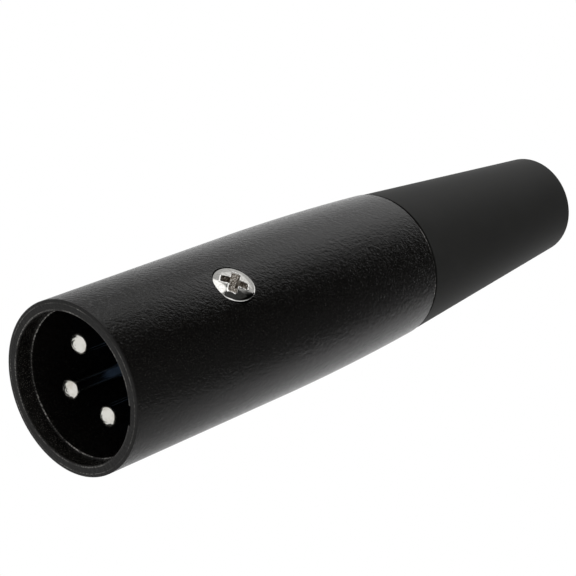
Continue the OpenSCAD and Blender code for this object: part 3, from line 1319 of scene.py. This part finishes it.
@dataclass
class Studio:
    """The camera of the photograph and the light round the plug.

    Directions of lamps and corners of flags run along the camera's right, up and forward axes from
    the plug's middle, in metres.
    """

    eye: tuple[float, float, float] = (66.622, -150.353, -133.134)
    forward: tuple[float, float, float] = (-0.28918, 0.63695, 0.71462)
    up: tuple[float, float, float] = (-0.73908, -0.62299, 0.2562)
    lens: float = 128.75
    middle: tuple[float, float, float] = (0, 0, 35)
    ambient: float = 0.75
    floor_colour: str = "#f2f1ef"

    def axes(self) -> Matrix:
        """Gives the camera's axes as the columns of a matrix."""
        ahead = Vector(self.forward).normalized()
        right = ahead.cross(Vector(self.up)).normalized()
        above = right.cross(ahead)
        return Matrix((right, above, ahead)).transposed()

    def aim(self, direction: Sequence[float], distance: float) -> Matrix:
        """Places something round the plug so that it faces the plug's middle.

        Args:
            direction: The way to it along the camera's right, up and forward axes.
            distance: How far away it is, in metres.

        Returns:
            The matrix that puts its face, -Z, towards the plug.
        """
        way = (self.axes() @ Vector(direction)).normalized()
        place = Vector(self.middle) * MM + way * distance
        turn = (-way).to_track_quat("-Z", "Y").to_matrix().to_4x4()
        return Matrix.Translation(place) @ turn

    def set_camera(self) -> None:
        """Puts the camera where the photograph was taken from."""
        data = bpy.data.cameras.new("camera")
        data.sensor_width = 36.0
        data.lens = self.lens
        data.clip_start = 0.01
        camera = bpy.data.objects.new("camera", data)
        bpy.context.scene.collection.objects.link(camera)
        right, above, ahead = (c.copy() for c in self.axes().col)
        turn = Matrix((right, above, -ahead)).transposed().to_4x4()
        camera.matrix_world = Matrix.Translation(Vector(self.eye) * MM) @ turn
        bpy.context.scene.camera = camera

    def add_lamp(
        self, name: str, direction: Sequence[float], distance: float, size: float, glow: float
    ) -> None:
        """Adds a square soft lamp that faces the plug.

        Args:
            name: Name of the lamp.
            direction: The way to it along the camera's axes.
            distance: How far away it is, in metres.
            size: Its side, in metres.
            glow: How bright its face is in a mirror, where 1 is white.
        """
        data = bpy.data.lights.new(name, "AREA")
        data.shape = "SQUARE"
        data.size = size
        data.energy = 4 * glow * size ** 2
        lamp = bpy.data.objects.new(name, data)
        bpy.context.scene.collection.objects.link(lamp)
        lamp.matrix_world = self.aim(direction, distance)

    def hang_flag(
        self,
        name: str,
        corners: Sequence[Corner],
        start: Corner,
        end: Corner,
        tones: Sequence[tuple[float, str]],
    ) -> None:
        """Hangs a flat cloth round the plug that only reflections see.

        Args:
            name: Name of the cloth.
            corners: Its corners.
            start: Where its run of tones begins.
            end: Where its run of tones ends.
            tones: Its tone at places along that run, from 0 to 1.
        """
        data = bpy.data.meshes.new(name)
        data.from_pydata(corners, [], [range(len(corners))])
        flag = bpy.data.objects.new(name, data)
        bpy.context.scene.collection.objects.link(flag)
        flag.matrix_world = Matrix.Translation(Vector(self.middle) * MM) @ self.axes().to_4x4()
        material = bpy.data.materials.new(name)
        material.use_nodes = True
        tree = material.node_tree
        tree.nodes.clear()
        place = add_node(tree, "TexCoord").outputs["Object"]
        run = Vector(end) - Vector(start)
        offset = add_node(tree, "VectorMath", {"operation": "SUBTRACT"}, {0: place, 1: start})
        share = add_node(
            tree, "VectorMath", {"operation": "DOT_PRODUCT"},
            {0: offset.outputs[0], 1: run / run.length_squared},
        )
        tone = set_ramp(add_node(tree, "ValToRGB", inputs={0: share.outputs["Value"]}), tones)
        glow = add_node(tree, "Emission", inputs={"Color": tone.outputs["Color"], "Strength": 1.0})
        add_node(tree, "OutputMaterial", inputs={"Surface": glow.outputs[0]})
        data.materials.append(material)
        flag.visible_camera = False
        flag.visible_diffuse = False
        flag.visible_shadow = False
        flag.visible_transmission = False

    def set_world(self) -> None:
        """Makes the world white to the camera and to reflections, and plain grey as a light."""
        world = bpy.data.worlds.new("tent")
        bpy.context.scene.world = world
        world.use_nodes = True
        tree = world.node_tree
        tree.nodes.clear()
        ray = add_node(tree, "LightPath").outputs
        seen = add_node(
            tree, "Math", {"operation": "MAXIMUM"},
            {0: ray["Is Camera Ray"], 1: ray["Is Glossy Ray"]},
        )
        seen = add_node(
            tree, "Math", {"operation": "MAXIMUM"},
            {0: seen.outputs[0], 1: ray["Is Transmission Ray"]},
        )
        white = add_node(tree, "Background", inputs={"Color": linear("#ffffff"), "Strength": 1.0})
        light = add_node(
            tree, "Background", inputs={"Color": linear("#ffffff"), "Strength": self.ambient}
        )
        both = add_node(
            tree, "MixShader",
            inputs={0: seen.outputs[0], 1: light.outputs[0], 2: white.outputs[0]},
        )
        add_node(tree, "OutputWorld", inputs={"Surface": both.outputs[0]})

    def lay_floor(self) -> None:
        """Lays a pale floor under the mouth that shows only from above and keeps the shadow."""
        data = bpy.data.meshes.new("floor")
        half, level = 1.5, -0.05 * MM
        data.from_pydata(
            [(-half, -half, level), (half, -half, level), (half, half, level), (-half, half, level)],
            [], [range(4)],
        )
        floor = bpy.data.objects.new("floor", data)
        bpy.context.scene.collection.objects.link(floor)
        material = bpy.data.materials.new("floor_paper")
        material.use_nodes = True
        tree = material.node_tree
        tree.nodes.clear()
        paper = add_node(tree, "BsdfDiffuse", inputs={"Color": linear(self.floor_colour)})
        clear = add_node(tree, "BsdfTransparent")
        side = add_node(tree, "NewGeometry").outputs["Backfacing"]
        both = add_node(
            tree, "MixShader", inputs={0: side, 1: paper.outputs[0], 2: clear.outputs[0]}
        )
        add_node(tree, "OutputMaterial", inputs={"Surface": both.outputs[0]})
        data.materials.append(material)
        floor.visible_diffuse = False
        floor.visible_glossy = False
        floor.visible_transmission = False
        floor.visible_shadow = False

    def build(self) -> None:
        """Sets the camera, the world, the lamps, the dark flags and the floor."""
        self.set_camera()
        self.set_world()
        self.add_lamp("overhead", (0.383, 0.858, 0.343), 0.9, 0.41, 0.57)
        self.add_lamp("key", (0.03, 0.93, -0.26), 0.8, 0.4, 1.55)
        self.hang_flag(
            "side_flag",
            [
                (0.9, -0.5, -1.4), (0.9, -0.5, 0.85), (0.9, 0.1, 0.65), (0.9, 0.62, 0.44),
                (0.9, 0.85, 0.28), (0.9, 1.35, 0.0), (0.9, 1.35, -1.4),
            ],
            (0, -0.27, -0.13), (0, 1.17, 0.567),
            [
                (0.0, "#8a8a8a"), (0.14, "#7c7c7c"), (0.22, "#6e6e6e"), (0.29, "#4a4a4a"),
                (0.38, "#141414"), (0.66, "#060606"), (0.72, "#161616"), (0.77, "#5a5a5a"),
                (0.85, "#a8a8a8"), (1.0, "#ffffff"),
            ],
        )
        self.hang_flag(
            "top_flag",
            [(0.26, 0.9, -1.2), (0.26, 0.9, -0.06), (0.96, 0.9, -0.06), (0.96, 0.9, -1.2)],
            (0.26, 0, 0), (0.96, 0, 0),
            [(0.0, "#5c5c5c"), (1.0, "#484848")],
        )
        self.lay_floor()
        bpy.context.scene.view_settings.view_transform = "Standard"


def main() -> None:
    """Builds the studio and every sub-assembly in order."""
    logging.basicConfig(level=logging.INFO, format="%(message)s")
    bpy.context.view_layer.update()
    Studio().build()
    low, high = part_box("shell")
    shell = Shell(length=(high.z - low.z) / MM, radius=high.y / MM)
    shell.build()
    ContactSet().build()
    SideScrew(height=shell.screw_height).build()
    Boot().build()
    CableClamp().build()


if __name__ == "__main__":
    main()
